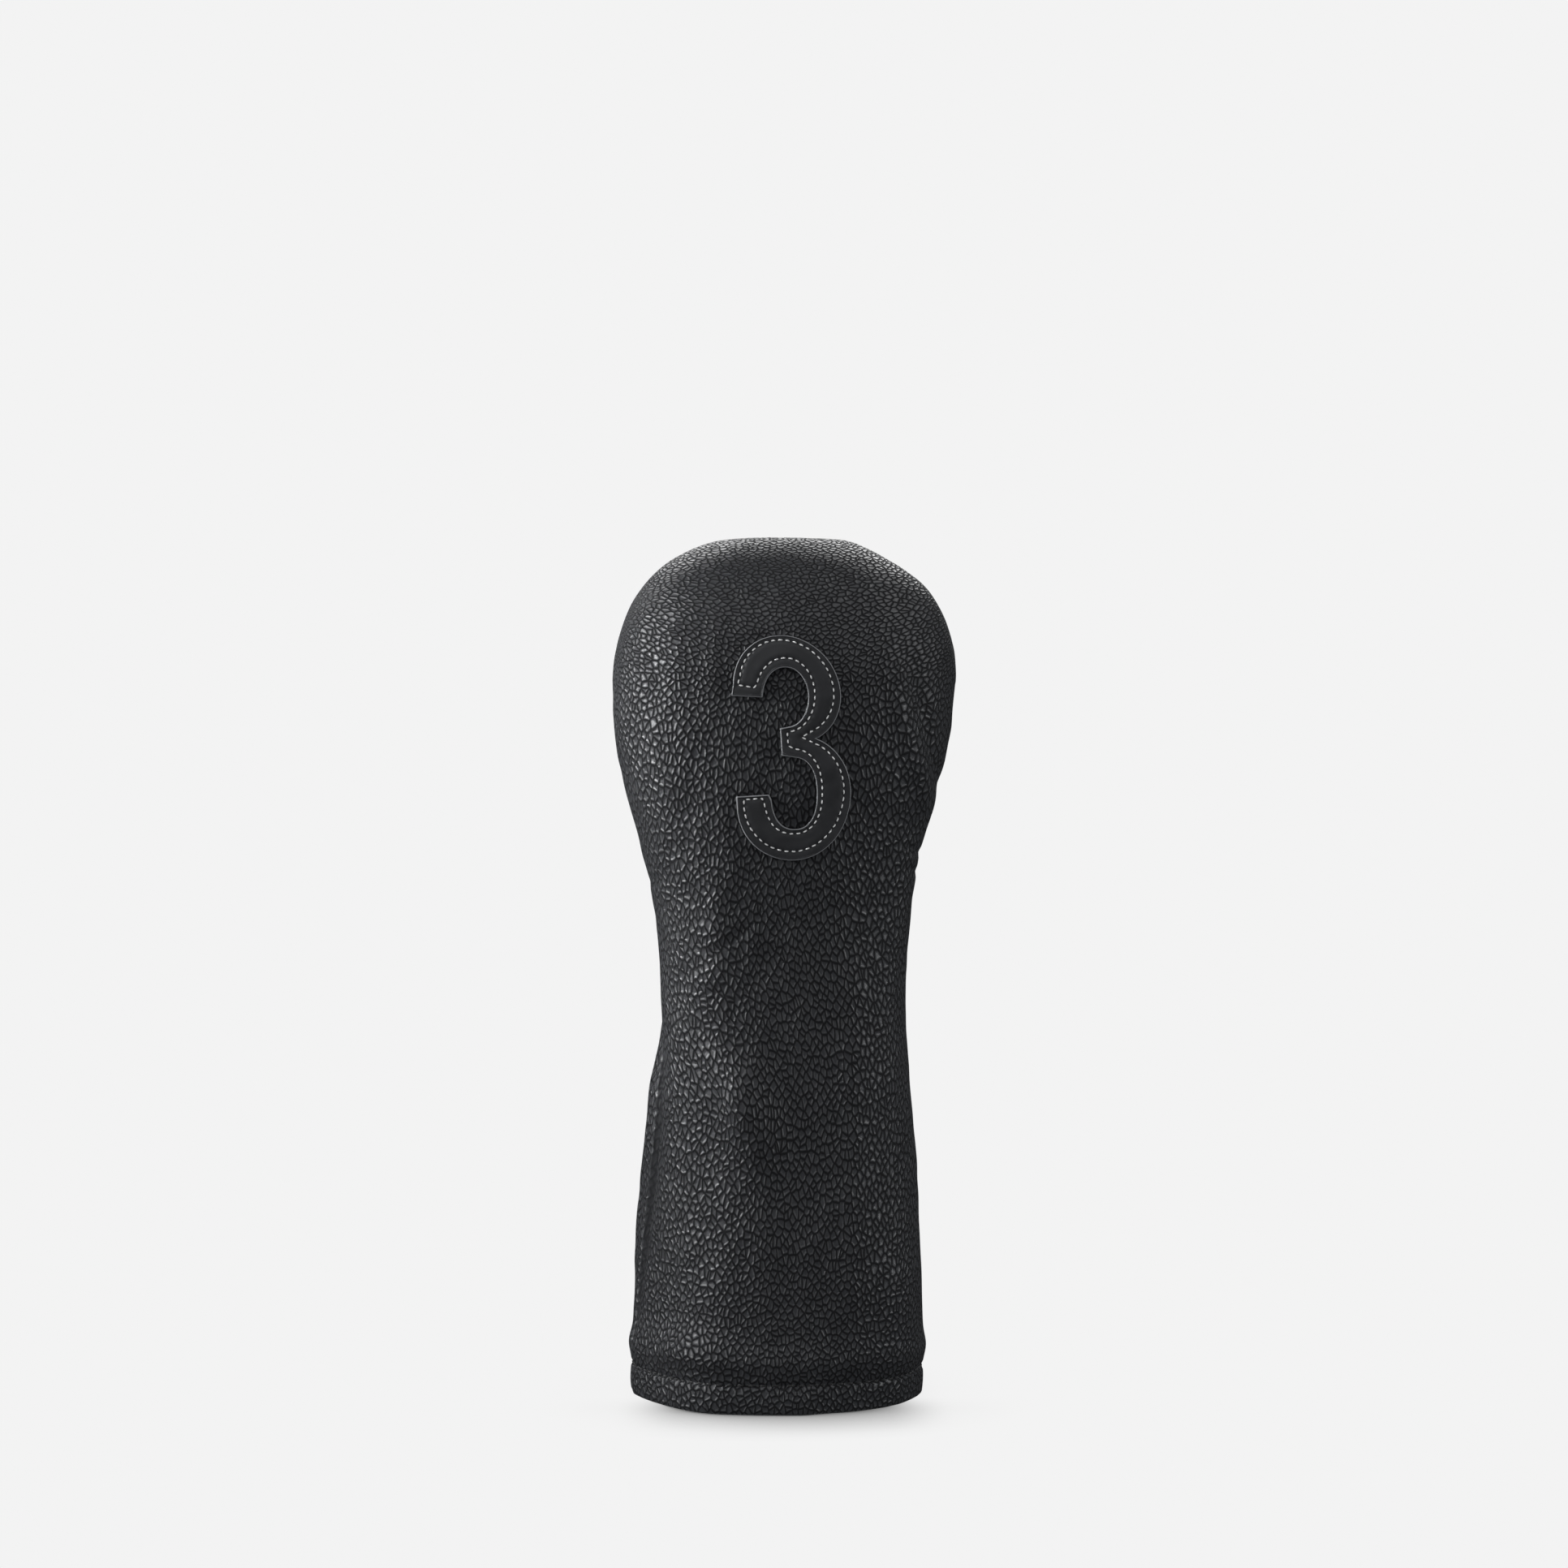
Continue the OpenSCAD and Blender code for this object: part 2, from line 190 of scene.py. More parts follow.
def billow(u, z):
    """The gathered back panel puffs out behind the left seam of the skirt."""
    behind = np.degrees(u) - (180 - np.degrees(seam_angle(z, True)))
    ripple = 1 + 0.16 * np.sin(behind * 0.5 + z * 0.03) * smooth((z - 20) / 50)
    share = np.sin(np.pi * np.clip(behind / BILLOW_WIDTH, 0, 1) ** 0.6)
    return curve(BILLOW, z) * ripple * np.maximum(share, 0) ** 0.8


# ---------------------------------------------------------------- folds in the leather

broad = Waves(3, 46, (1, 1, 1.5))
middling = Waves(7, 17, (1, 1, 1.4))
shallow = Waves(11, 8, (1, 1, 1.5))
# Each is (x, z, half width, half height, lean in degrees, height outwards)
FRONT_FOLDS = [
    (3, 72, 13, 44, 0, -2.1),       # trough down the skirt
    (-14, 105, 7.5, 17, 14, 4.6),   # fold that catches the light beside it
    (-33, 55, 8, 26, 8, 0.8),       # full left of the skirt
    (24, 95, 5, 80, 0, 1.7),        # ridge down the right of the neck
    (34, 60, 10, 34, -4, 0.5),      # full right of the skirt
    (-24, 165, 6, 30, -2, 1.0),     # corner down the left of the neck
    (-34, 21, 12, 5.5, 0, 2.6),     # puffs over the hem's stitching
    (30, 22, 14, 5, 0, 0.6),
    (-19, 163, 13, 1.6, 38, -0.5),  # faint crease across the neck
    (-47, 183, 5, 1.6, 20, -0.3),   # nicks where the elastic starts
    (46, 194, 5, 1.5, -20, -0.7),
    (45, 187, 5, 1.5, -15, -0.6),
    (-40, 225, 8, 34, -8, 1.2),     # full left side of the head
    (45, 230, 3.6, 34, 15, 1.2),    # soft fold inside the head's right edge
    (51, 234, 2.4, 28, 15, -1.4),   # and the hollow beside it
]


def front_folds(x, z):
    out = np.zeros_like(x)
    for cx, cz, w, h, lean, rise in FRONT_FOLDS:
        a = math.radians(lean)
        dx, dz = x - cx, z - cz
        over = bell(dx * math.cos(a) + dz * math.sin(a), w)
        out += rise * over * bell(dz * math.cos(a) - dx * math.sin(a), h)
    return out


HEM_STITCHES = 92
HEM_PUFF_Z = 17.5


def hem_relief(u, z):
    """The turned-up hem: a full band, a valley with a dent at each stitch hole, a puff above."""
    band = 0.5 * np.sin(np.pi * np.clip(z / HEM_STITCH, 0, 1)) ** 0.8
    valley = -0.6 * bell(z - HEM_STITCH, 0.75) - 0.1 * bell(z - HEM_STITCH, 2.2)
    hole = np.cos(u * HEM_STITCHES) * -0.35 * bell(z - HEM_STITCH, 0.9)
    pucker = 0.12 * np.cos(u * HEM_STITCHES) * bell(z - HEM_STITCH, 4.0)
    puff = 1.1 * bell(z - HEM_PUFF_Z, 4.6)
    return band + valley + hole + pucker + puff


ELASTIC_Z = 144.0
ELASTIC_ROW_Z = (129.5, 158.5)


def gathers(u, z):
    """Pleats that the elastic draws into the back of the neck, fading up and down."""
    t = np.degrees(u) - 270
    reach = smooth((78 - np.abs(t)) / 14)
    near = bell(z - ELASTIC_Z, 30)
    drift = 2.2 * np.sin(z * 0.045 + t * 0.05) + 1.1 * np.sin(z * 0.11 + 1.3)
    fine = np.abs(np.sin(np.radians(t * 17.0 + drift * 16))) ** 0.8 - 0.6
    coarse = np.sin(np.radians(t * 5.0 + drift * 9 + 40))
    low, high = ELASTIC_ROW_Z
    rows = bell(z - low, 2.2) + bell(z - high, 2.2)
    return reach * near * (1.9 * fine * bell(z - ELASTIC_Z, 22) + coarse) - reach * 0.8 * rows


SEAM_ROUND = 2.3


def seam_roll(d):
    """The panels turn in at the seam with a round shoulder. d is the distance from the seam."""
    t = np.clip(1 - d / SEAM_ROUND, 0, 1)
    turn_in = -SEAM_ROUND * (1 - np.sqrt(np.maximum(0, 1 - t**2))) * 0.75
    return turn_in - 0.35 * bell(d, 5.0)


def grid_normals(p):
    """Unit normals of a grid of points, straight up where rows meet in one point."""
    du = np.gradient(p, axis=1)
    dv = np.gradient(p, axis=0)
    n = np.cross(du, dv)
    size = np.linalg.norm(n, axis=-1, keepdims=True)
    n = n / np.maximum(size, 1e-9)
    flat = size[..., 0] < 1e-7
    n[flat] = (0, 0, 1)
    return n


def outward(p, n):
    """Normals turned to point away from the body's axis, and from a point inside the crown."""
    axis = p.copy()
    axis[..., 2] = np.maximum(0, p[..., 2] - CROWN_CENTRE)
    return n * np.sign(np.sum(n * axis, -1, keepdims=True) + 1e-9)


def relief(u, z, p, back):
    """How far the leather's outer face stands off the smooth skin."""
    x, zz = p[..., 0], p[..., 2]
    d = seam_distance(u, z, p)
    out = seam_roll(d)
    fade = smooth(d / 9) * (0.35 + 0.65 * smooth((296 - z) / 24))
    out += fade * (0.42 * broad(p) + 0.09 * middling(p) * smooth((zz - 20) / 40))
    out += fade * 0.07 * shallow(p)
    out += hem_relief(u, zz)
    if back:
        out += fade * gathers(u, zz)
    else:
        out += smooth(d / 4) * front_folds(x, zz)
        out += number_dip(x, zz)
    return out


def arc_from_seam(u, z, p, left):
    """Distance along the skin from the seam, taken from the angle and the local radius."""
    seam = np.pi - seam_angle(z, True) if left else seam_angle(z, False)
    turn = (u - seam + np.pi) % (2 * np.pi) - np.pi
    flat = np.hypot(p[..., 0], p[..., 1])
    return turn * np.maximum(flat, 0.01)


def seam_distance(u, z, p):
    """Distance from the nearer of the two seams."""
    return np.minimum(np.abs(arc_from_seam(u, z, p, False)), np.abs(arc_from_seam(u, z, p, True)))


# ---------------------------------------------------------------- the number's outline

# The outline is drawn upright round its own middle, then placed() tilts and moves it
NUMBER_AT = np.array([1.9, 230.0])
NUMBER_TILT = math.radians(4.2)
STITCH_INSET = 2.5      # stitching's distance from the edge, and how much higher it sits
STITCH_RISE = 0.7
UPPER_ROW, LOWER_ROW = 2.95, 1.95       # the stitching's own insets at the two open ends
# Bowls and eyes: middle x, middle z, half width, half height, squareness, lean in degrees
UPPER_BOWL = (0.55, 19.6, 17.3, 19.6, 2.0, 38)
LOWER_BOWL = (0.1, -17.2, 19.2, 21.7, 2.1, -18)
UPPER_EYE = (-0.1, 17.2, 7.6, 10.1, 2.05, -2)
LOWER_EYE = (0.4, -15.8, 7.7, 12.15, 2.3, -4)
UPPER_END = ((-18.5, 19.0), (-7.9, 17.7))
LOWER_END = ((-19.4, -15.4), (-8.1, -15.5))
NOTCH = (9.4, 2.5)
ARM_X, ARM_HIGH, ARM_LOW = -2.8, 6.8, -2.7


def oval(shape, d, a0, a1, n, shift=0.0):
    """Arc of a leaning oval whose half sizes grow by d."""
    cx, cz, rx, rz, p, lean = shape
    a = np.radians(np.linspace(a0, a1, n))
    x, z = (rx + d) * power(np.cos(a), p), (rz + d) * power(np.sin(a), p)
    c, s = math.cos(math.radians(lean)), math.sin(math.radians(lean))
    return np.stack([cx - shift + x * c - z * s, cz + x * s + z * c], -1)


def number_parts(d, end_up, end_low):
    """Arcs and corners of the number in order, drawn in by d."""
    (ulx, ulz), (urx, urz) = UPPER_END
    (llx, llz), (lrx, lrz) = LOWER_END
    return [
        np.array([[ulx + d, ulz + end_up]]),
        oval(UPPER_BOWL, -d, 135 - 2 * end_up, -99, 96),
        np.array([[NOTCH[0] - 2 * d, NOTCH[1]]]),
        oval(LOWER_BOWL, -d, 82, -160 + 2 * end_low, 112),
        np.array([[llx + d, llz - end_low]]),
        np.array([[lrx - d, lrz - end_low]]),
        oval(LOWER_EYE, 0.95 * d, -172 + 3 * end_low, 86, 64, 0.16 * d),
        np.array([[ARM_X + d, ARM_LOW + d]]),
        np.array([[ARM_X + d, ARM_HIGH - d]]),
        oval(UPPER_EYE, d, -82, 168 - 3 * end_up, 64),
        np.array([[urx - d, urz + end_up]]),
    ]


def number_outline(d, end_up=0.0, end_low=0.0):
    """The number's outline drawn in by d, with its two end rows drawn in by their own amounts."""
    plain, parts, out = number_parts(0, 0, 0), number_parts(d, end_up, end_low), []
    for k, part in enumerate(parts):
        after = (k + 1) % len(parts)
        count = int(np.hypot(*(plain[after][0] - plain[k][-1])) / 0.6)
        t = np.linspace(0, 1, count + 2)[1:-1, None]
        out += [part, part[-1] * (1 - t) + parts[after][0] * t]
    return np.concatenate(out)


def placed(q):
    """Points of the upright number moved to where it lies on the front."""
    c, s = math.cos(NUMBER_TILT), math.sin(NUMBER_TILT)
    return np.stack([q[..., 0] * c - q[..., 1] * s, q[..., 0] * s + q[..., 1] * c], -1) + NUMBER_AT


def nearest(q, marks):
    """Distance from each point to the nearest of the marks."""
    best = np.full(len(q), 1e9)
    for m in marks:
        best = np.minimum(best, np.hypot(q[:, 0] - m[0], q[:, 1] - m[1]))
    return best


outer_line = placed(number_outline(0))


def number_dip(x, z):
    """The leather sinks a little under the number and puckers round its edge."""
    out = np.zeros_like(x)
    near = (np.abs(x - NUMBER_AT[0]) < 34) & (np.abs(z - NUMBER_AT[1]) < 52)
    best = nearest(np.stack([x[near], z[near]], -1), outer_line[::4])
    out[near] = -0.25 * bell(best, 3.6) + 0.08 * bell(best - 7.0, 4.0)
    return out


# ---------------------------------------------------------------- meshes

def mesh(name, points, faces):
    """A smooth-shaded object from points in millimetres."""
    me = bpy.data.meshes.new(name)
    me.from_pydata((np.asarray(points) * MM).tolist(), [], faces)
    me.validate()
    me.update()
    me.polygons.foreach_set("use_smooth", [True] * len(me.polygons))
    ob = bpy.data.objects.new(name, me)
    bpy.context.scene.collection.objects.link(ob)
    return ob


def attribute(ob, name, values):
    """Stores one number or one vector for each point, for the material to read."""
    values = np.asarray(values, np.float32)
    kind, key = ("FLOAT", "value") if values.ndim == 1 else ("FLOAT_VECTOR", "vector")
    layer = ob.data.attributes.new(name, kind, "POINT")
    layer.data.foreach_set(key, values.ravel())


def grid_faces(rows, cols, start=0, flip=False, wrap=False):
    """Quads over a grid of points, closed into a tube by wrap."""
    out = []
    for j in range(rows - 1):
        for i in range(cols if wrap else cols - 1):
            a = start + j * cols + i
            b = start + j * cols + (i + 1) % cols
            quad = (a, b, b + cols, a + cols)
            out.append(quad[::-1] if flip else quad)
    return out


def zip_sides(left, right, height, flip):
    """Triangles between two chains of points, taken in step by their heights."""
    out, i, j = [], 0, 0
    last_left, last_right = len(left) - 1, len(right) - 1
    while i < last_left or j < last_right:
        lower = i < last_left and j < last_right and height[left[i + 1]] <= height[right[j + 1]]
        step_left = j == last_right or lower
        tri = (left[i], left[i + 1], right[j]) if step_left else (left[i], right[j + 1], right[j])
        out.append(tri[::-1] if flip else tri)
        i, j = (i + 1, j) if step_left else (i, j + 1)
    return out


def spread(z0, steps):
    """Row heights from (height, spacing) steps, up to the last step's height."""
    out = [z0]
    for high, gap in steps:
        n = max(1, round((high - out[-1]) / gap))
        out += list(np.linspace(out[-1], high, n + 1)[1:])
    return np.array(out)


def crown_rows(n):
    """Row heights over the crown, closer together towards its top."""
    bend = np.radians(np.linspace(0, 90, n + 1)[1:])
    return WIDEST + CROWN_RISE * np.sin(bend) ** (2 / CROWN_WIDE[1])


def columns(z, n, back, clear=0.0):
    """Angles of the columns at each row's height, from seam to seam over the front or the back."""
    right = seam_angle(z, False)[:, None]
    left = np.pi - seam_angle(z, True)[:, None]
    t = np.linspace(0, 1, n)[None, :]
    t = t - 0.0175 * np.sin(4 * np.pi * t)
    if back:
        return left + clear + (right + 2 * np.pi - left - 2 * clear) * t
    return right + clear + (left - right - 2 * clear) * t


PANEL_COLUMNS = 185
OUTER_ROWS = np.concatenate([spread(0.0, [(22, 0.62), (WIDEST, 0.95)]), crown_rows(96)])
INNER_ROWS = np.concatenate(
    [spread(0.0, [(HEM_FOLD, 1.3), (HEM_FOLD + 0.4, 0.4), (WIDEST, 7.0)]), crown_rows(14)]
)
RIM = 1.3               # radius of the hem's lower edge


def rim_round(z):
    """How far the hem's lowest edge is rounded in at height z."""
    return RIM - np.sqrt(np.maximum(0, RIM**2 - np.clip(RIM - z, 0, RIM) ** 2))


def skin_grid(z_rows, u):
    """Heights, points and outward normals of the smooth skin over a grid."""
    zz = np.repeat(z_rows[:, None], u.shape[1], 1)
    base = skin(u, zz)
    return zz, base, outward(base, grid_normals(base))


def leather_panel(name, back):
    """A closed panel: an outer face with all the relief, and a coarser inner face."""
    cols = PANEL_COLUMNS
    u = columns(OUTER_ROWS, cols, back)
    zz, base, n = skin_grid(OUTER_ROWS, u)
    lift = relief(u, zz, base, back)
    outer = base + n * (lift - rim_round(zz))[..., None]
    outer[..., 2] = np.maximum(outer[..., 2], 0)
    outer[0, :, 2] = 0
    # The inner face lies a leather's thickness in, or two where the hem is turned up
    iz, ibase, inorm = skin_grid(INNER_ROWS, columns(INNER_ROWS, cols, back))
    near = np.abs(INNER_ROWS[:, None] - OUTER_ROWS[None, :]).argmin(1)
    follow = np.minimum(np.clip(lift[near], -2.2, 0.6) * 0.7, 0.2)
    thick = np.where(iz <= HEM_FOLD, 2 * LEATHER, LEATHER)
    inner = ibase + inorm * (follow - thick + rim_round(iz))[..., None]
    inner[..., 2] = np.maximum(inner[..., 2], 0)
    rows_o, rows_i = len(OUTER_ROWS), len(INNER_ROWS)
    points = np.concatenate([outer.reshape(-1, 3), inner.reshape(-1, 3)])
    k = rows_o * cols
    faces = grid_faces(rows_o, cols) + grid_faces(rows_i, cols, k, True)
    height = np.concatenate([np.repeat(OUTER_ROWS, cols), np.repeat(INNER_ROWS, cols)])
    for col, flip in ((0, True), (cols - 1, False)):
        outer_side = [j * cols + col for j in range(rows_o)]
        inner_side = [k + j * cols + col for j in range(rows_i)]
        faces += zip_sides(outer_side, inner_side, height, flip)
    faces += [(i, k + i, k + i + 1, i + 1) for i in range(cols - 1)]
    ob = mesh(name, points, faces)
    grain = [grain_coordinates(g).reshape(-1, 3) for g in (outer, inner)]
    attribute(ob, "grain", np.concatenate(grain))
    inner_count = rows_i * cols
    # Paler and smoother where the leather is rubbed along the seams and at the hem's lowest edge
    pale_edge = np.maximum(bell(seam_distance(u, zz, base), 2.6), bell(zz, 1.2) * 0.8)
    attribute(ob, "pale_edges", np.concatenate([pale_edge.ravel(), np.zeros(inner_count)]))
    rough_side = (iz > HEM_FOLD + 0.2).astype(float)
    attribute(ob, "flesh", np.concatenate([np.zeros(k), rough_side.ravel()]))
    crown = smooth((zz - 245) / 45)
    attribute(ob, "crown", np.concatenate([crown.ravel(), np.ones(inner_count)]))
    return ob


GRAIN_TURN = 0.7071


def grain_coordinates(p):
    """Places on the panel in grain cells: along each row from its middle, and up its middle."""
    mid = p.shape[1] // 2
    step = np.linalg.norm(np.diff(p, axis=1), axis=-1)
    start = np.zeros((len(p), 1))
    run = np.concatenate([start, np.cumsum(step, 1)], 1)
    across = run - run[:, mid][:, None]
    middle = p[:, mid]
    rise = np.concatenate([[0], np.linalg.norm(np.diff(middle, axis=0), axis=-1)])
    z = middle[:, 2]
    rate = 0.30 + 0.32 * smooth((z - 232) / 45) + 0.10 * smooth((80 - z) / 70)
    up = np.cumsum(rise * rate)
    # The pebbles are wider towards the seams and over the crown
    cells = np.cumsum(np.concatenate([start, step], 1) * (0.37 + 0.19 * bell(across, 40)), 1)
    cells = (cells - cells[:, mid][:, None]) * (1 - 0.22 * smooth((z - 250) / 35))[:, None]
    up = np.repeat(up[:, None], p.shape[1], 1)
    # Turned by 45 degrees, so that the rows of cells don't run level
    return np.stack([(cells + up) * GRAIN_TURN, (up - cells) * GRAIN_TURN, np.zeros(up.shape)], -1)


def shell(name, z_rows, cols, back, off_out, off_in, clear=0.0, u_range=None, ripple=None):
    """A closed layer between two depths under the skin, off_out(z) and off_in(z)."""
    u = columns(z_rows, cols, back, clear)
    if u_range:
        u = np.repeat(np.linspace(*u_range, cols)[None, :], len(z_rows), 0)
    zz, base, n = skin_grid(z_rows, u)
    bump = ripple(base) if ripple else 0.0
    outer = base - n * (off_out(zz))[..., None]
    inner = base - n * (off_in(zz) + bump)[..., None]
    rows = len(z_rows)
    k = rows * cols
    points = np.concatenate([outer.reshape(-1, 3), inner.reshape(-1, 3)])
    faces = grid_faces(rows, cols) + grid_faces(rows, cols, k, True)
    faces += [(i, k + i, k + i + 1, i + 1) for i in range(cols - 1)]
    top = (rows - 1) * cols
    faces += [(top + i, top + i + 1, k + top + i + 1, k + top + i) for i in range(cols - 1)]
    for j in range(rows - 1):
        a, b = j * cols, (j + 1) * cols
        faces.append((a, b, k + b, k + a))
        a, b = a + cols - 1, b + cols - 1
        faces.append((a, k + a, k + b, b))
    return mesh(name, points, faces)


front_leather = leather_panel("leather_front", False)
back_leather = leather_panel("leather_back", True)


# ---------------------------------------------------------------- the leather's true surface

def tree_of(ob):
    verts = [v.co.copy() for v in ob.data.vertices]
    polys = [tuple(p.vertices) for p in ob.data.polygons]
    return BVHTree.FromPolygons(verts, polys)


front_tree = tree_of(front_leather)
back_tree = tree_of(back_leather)


def on_front(q):
    """The points of the leather's outer face at each (x, z), met from the front."""
    out = np.zeros((len(q), 3))
    for i, (x, z) in enumerate(q):
        hit = front_tree.ray_cast(Vector((x * MM, -0.12, z * MM)), Vector((0, 1, 0)))
        out[i] = np.array(hit[0]) / MM
    return out


SHEET_PASSES = 14


def front_sheet():
    """A slightly smoothed copy of the front's relief, over the area of the number."""
    xs = np.arange(-28, 28.1, 1.0)
    zs = np.arange(183, 276.1, 1.0)
    gx, gz = np.meshgrid(xs, zs)
    y = on_front(np.stack([gx.ravel(), gz.ravel()], -1))[:, 1].reshape(gx.shape)
    for _ in range(SHEET_PASSES):
        pad = np.pad(y, 1, mode="edge")
        y = (pad[:-2, 1:-1] + pad[2:, 1:-1] + pad[1:-1, :-2] + pad[1:-1, 2:] + 4 * y) / 8
    return xs, zs, y


sheet_x, sheet_z, sheet_y = front_sheet()


def lay_on_front(q, height):
    """Points of the number's plane laid on the front, standing out by height along the normal."""
    fx = np.clip(q[..., 0] - sheet_x[0], 0, len(sheet_x) - 1.001)
    fz = np.clip(q[..., 1] - sheet_z[0], 0, len(sheet_z) - 1.001)
    i, j = fx.astype(int), fz.astype(int)
    a, b = fx - i, fz - j
    y00, y10 = sheet_y[j, i], sheet_y[j, i + 1]
    y01, y11 = sheet_y[j + 1, i], sheet_y[j + 1, i + 1]
    y = (y00 * (1 - a) + y10 * a) * (1 - b) + (y01 * (1 - a) + y11 * a) * b
    sx = (y10 - y00) * (1 - b) + (y11 - y01) * b
    sz = (y01 - y00) * (1 - a) + (y11 - y10) * a
    n = np.stack([sx, -np.ones_like(sx), sz], -1)
    n /= np.linalg.norm(n, axis=-1, keepdims=True)
    p = np.stack([q[..., 0], y, q[..., 1]], -1)
    return p + n * np.asarray(height)[..., None], n


# ---------------------------------------------------------------- stitches

def path_lengths(path):
    step = np.linalg.norm(np.roll(path, -1, 0) - path, axis=1)
    return np.concatenate([[0], np.cumsum(step)])


def along(path, sums, s):
    closed = np.concatenate([path, path[:1]])
    return np.stack([np.interp(s, sums, closed[:, k]) for k in range(path.shape[1])], -1)


def stitch_tubes(name, runs, width, height, sides=8, rings=9):
    """A tube for each run of (points, outward directions), with a full middle and diving ends."""
    points, faces, ply = [], [], []
    for line_points, out in runs:
        start = len(points)
        t = np.linspace(0, 1, rings)
        src = np.linspace(0, 1, len(line_points))
        centre = np.stack([np.interp(t, src, line_points[:, k]) for k in range(3)], -1)
        o = np.stack([np.interp(t, src, out[:, k]) for k in range(3)], -1)
        way = np.gradient(centre, axis=0)
        way /= np.linalg.norm(way, axis=1)[:, None]
        side = np.cross(way, o)
        side /= np.linalg.norm(side, axis=1)[:, None]
        up = np.cross(side, way)
        arch = np.clip(np.sin(np.pi * t), 0, 1)
        swell = np.maximum(arch**0.35, 0.35)
        dive = -0.75 * height * (1 - arch**0.45)
        for r in range(rings):
            for k in range(sides):
                a = 2 * math.pi * k / sides
                points.append(
                    centre[r] + up[r] * (dive[r] + math.sin(a) * height / 2 * swell[r])
                    + side[r] * math.cos(a) * width / 2 * swell[r]
                )
                ply.append((t[r], k / sides, start / (rings * sides)))
        faces += grid_faces(rings, sides, start, wrap=True)
        faces.append(tuple(start + k for k in range(sides))[::-1])
        faces.append(tuple(start + (rings - 1) * sides + k for k in range(sides)))
    ob = mesh(name, np.array(points), faces)
    attribute(ob, "ply", np.array(ply))
    return ob


NUMBER_PITCH = 2.42
NUMBER_REACH = 0.74     # half a stitch's length


def number_stitches():
    """Stitches round the number, their holes, and the path that they follow."""
    path = placed(number_outline(STITCH_INSET, UPPER_ROW, LOWER_ROW) + (0, STITCH_RISE))
    sums = path_lengths(path)
    count = round(sums[-1] / NUMBER_PITCH)
    holes, runs = [], []
    r = np.random.RandomState(5)
    for i in range(count):
        mid = sums[-1] * (i + 0.5) / count
        reach = NUMBER_REACH + r.uniform(-0.06, 0.06)
        s = (mid + np.linspace(-reach, reach, 5)) % sums[-1]
        lean = r.uniform(-0.07, 0.07)
        q = along(path, sums, s)
        way = q[-1] - q[0]
        across = np.array([-way[1], way[0]]) / max(1e-6, np.hypot(*way))
        q = q + across[None, :] * lean * np.linspace(-1, 1, 5)[:, None]
        runs.append(lay_on_front(q, np.full(5, PATCH_OFF + PATCH - 0.02)))
        holes.append(along(path, sums, sums[-1] * i / count))
    return stitch_tubes("number_stitches", runs, 0.50, 0.5), np.array(holes), path


number_thread, hole_points, stitch_path = number_stitches()


def inside(q, loop):
    """Which points lie inside a closed loop."""
    hit = np.zeros(len(q), bool)
    for a, b in zip(loop, np.roll(loop, -1, 0)):
        crosses = (a[1] > q[:, 1]) != (b[1] > q[:, 1])
        at = a[0] + (q[:, 1] - a[1]) * (b[0] - a[0]) / (b[1] - a[1] + 1e-12)
        hit ^= crosses & (q[:, 0] < at)
    return hit


def number_patch():
    """Smooth leather cut to the number: a pared edge, and a top pressed in along the stitching."""
    # The edge's section, as (how far in, height)
    edge = [(0.10, -0.6), (0.02, 0.35), (0.0, 0.8), (0.03, 1.1),
            (0.12, 1.36), (0.27, 1.53), (0.48, PATCH)]
    rings = [placed(number_outline(d, d, d)) for d, _ in edge]
    n = len(rings[0])
    rim = rings[-1]
    low, high = rim.min(0), rim.max(0)
    gap = 0.42
    xs, zs = np.arange(low[0], high[0], gap), np.arange(low[1], high[1], gap * 0.866)
    gx, gz = np.meshgrid(xs, zs)
    gx[1::2] += gap / 2
    q = np.stack([gx.ravel(), gz.ravel()], -1)
    q = q[inside(q, rim)]
    q = q[nearest(q, rim) > 0.34]
    flat = [Vector(v) for v in np.concatenate([rim, q])]
    found = delaunay_2d_cdt(flat, [], [list(range(n))], 1, 1e-5)
    top = np.array([tuple(v) for v in found[0]])
    channel, hole = nearest(top, stitch_path), nearest(top, hole_points)
    drop = 0.2 * bell(channel, 0.8) + 0.4 * bell(hole, 0.45) - 0.05 * bell(channel - 1.6, 0.8)
    points = []
    for ring, (_, h) in zip(rings[:-1], edge):
        points.append(lay_on_front(ring, np.full(n, PATCH_OFF + h))[0])
    sunk = drop * smooth(nearest(top, rim) / 0.5)
    points.append(lay_on_front(top, PATCH_OFF + PATCH - sunk)[0])
    start = (len(edge) - 1) * n
    faces = grid_faces(len(edge) - 1, n, 0, False, wrap=True)
    kept = {j: i for i, group in enumerate(found[3]) for j in group}
    loop = [start + kept[i] for i in range(n)]
    under = start - n
    for i in range(n):
        after = (i + 1) % n
        faces.append((under + i, under + after, loop[after], loop[i]))
    faces += [tuple(start + i for i in f) for f in found[2]]
    faces.append(tuple(range(n))[::-1])
    ob = mesh("number_leather", np.concatenate(points), faces)
    # Paler round the upper edge: partly a burnished edge, partly a painted highlight along it
    pale_edge = [np.full(n, max(0.0, 1 - max(0.0, d - 0.2) / 0.25) * (h > 1.2)) for d, h in edge[:-1]]
    attribute(ob, "pale_edges", np.concatenate(pale_edge + [np.zeros(len(top))]))
    return ob


patch = number_patch()


RAY_START, RAY_REACH = 0.02, 0.04       # metres
THREAD_LIFT = 0.02


def drop_on(base):
    """Points moved to the leather's outer face along the way out from the axis."""
    pts, out = [], []
    for b in base:
        way = Vector((b[0], b[1], 0)).normalized()
        start = Vector(b) * MM + way * RAY_START
        hits = [t.ray_cast(start, -way, RAY_REACH) for t in (front_tree, back_tree)]
        hits = [h for h in hits if h[0] is not None]
        hit = min(hits, key=lambda h: h[3]) if hits else None
        p = np.array(hit[0]) / MM if hit else b
        pts.append(p + np.array(way) * THREAD_LIFT)
        out.append(np.array(way))
    return np.array(pts), np.array(out)


